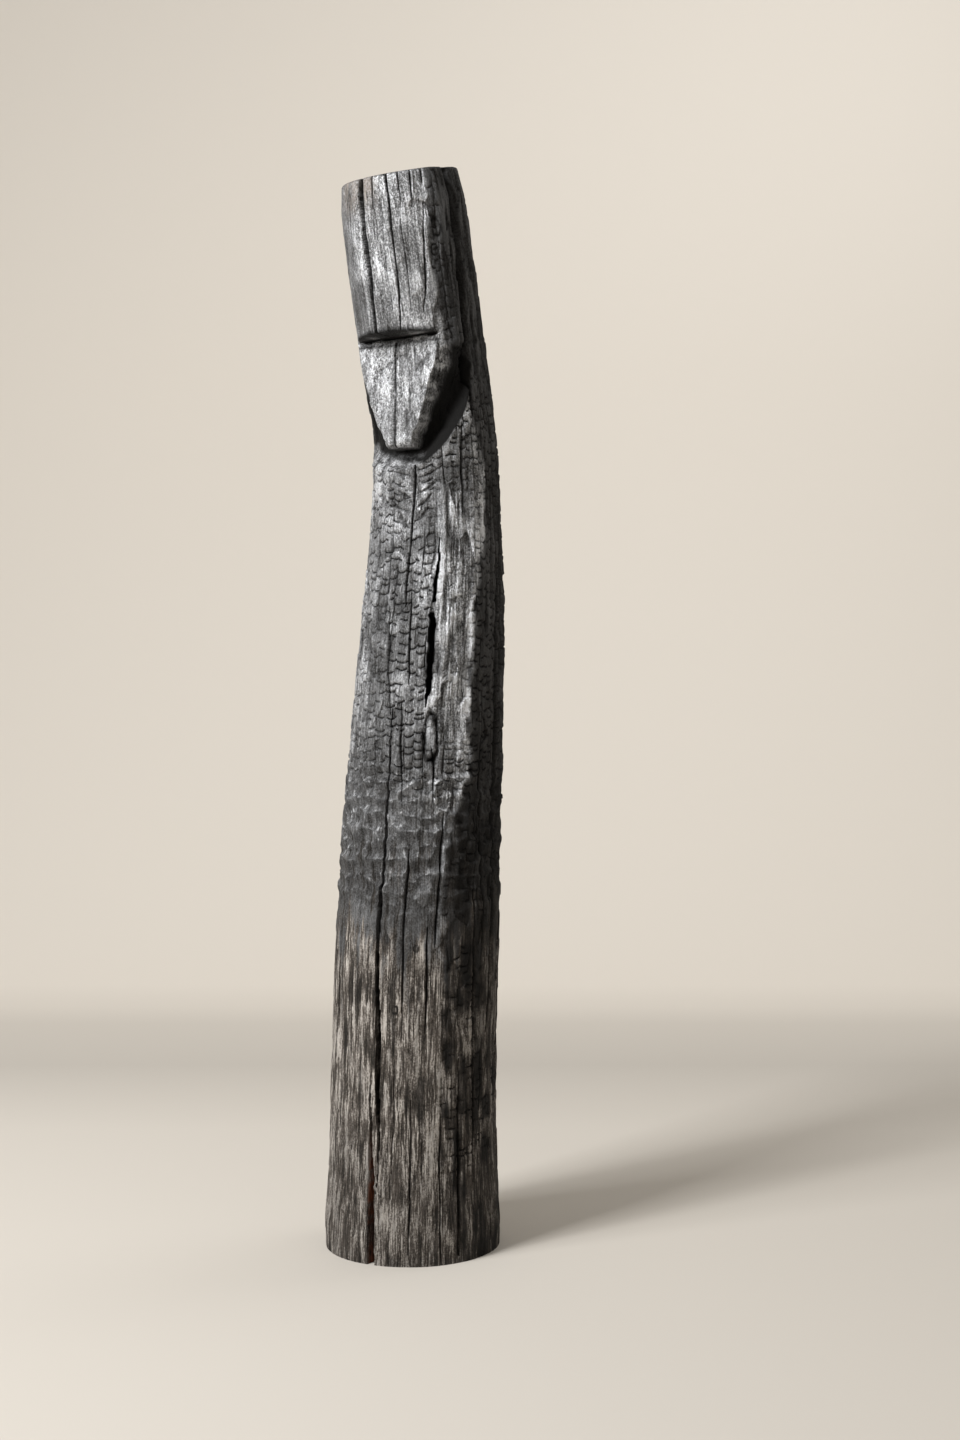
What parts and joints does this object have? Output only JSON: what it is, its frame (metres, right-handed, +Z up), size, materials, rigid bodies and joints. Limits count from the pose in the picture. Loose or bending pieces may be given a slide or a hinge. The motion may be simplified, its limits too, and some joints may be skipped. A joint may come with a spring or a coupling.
{
  "type": "carved log figure",
  "caption": "Abstract standing figure carved from one charred log, with a bowed head, a sawn brow slot, a flat tapered mask and a hollow scooped round the neck.",
  "frame": {"origin": "centre of the flat underside, in its plane", "axes": "+Z up the log; -Y is where the face looks and where the head bows; +X is the figure's left"},
  "size_m": [0.2851, 0.3094, 1.7426],
  "materials": {
    "charred_wood": "burnt to a cracked black char with a dull graphite shine above, weathered grey-brown grain towards the foot"
  },
  "bodies": {
    "root": {"wooden_figure": "charred_wood"}
  },
  "joints": []
}
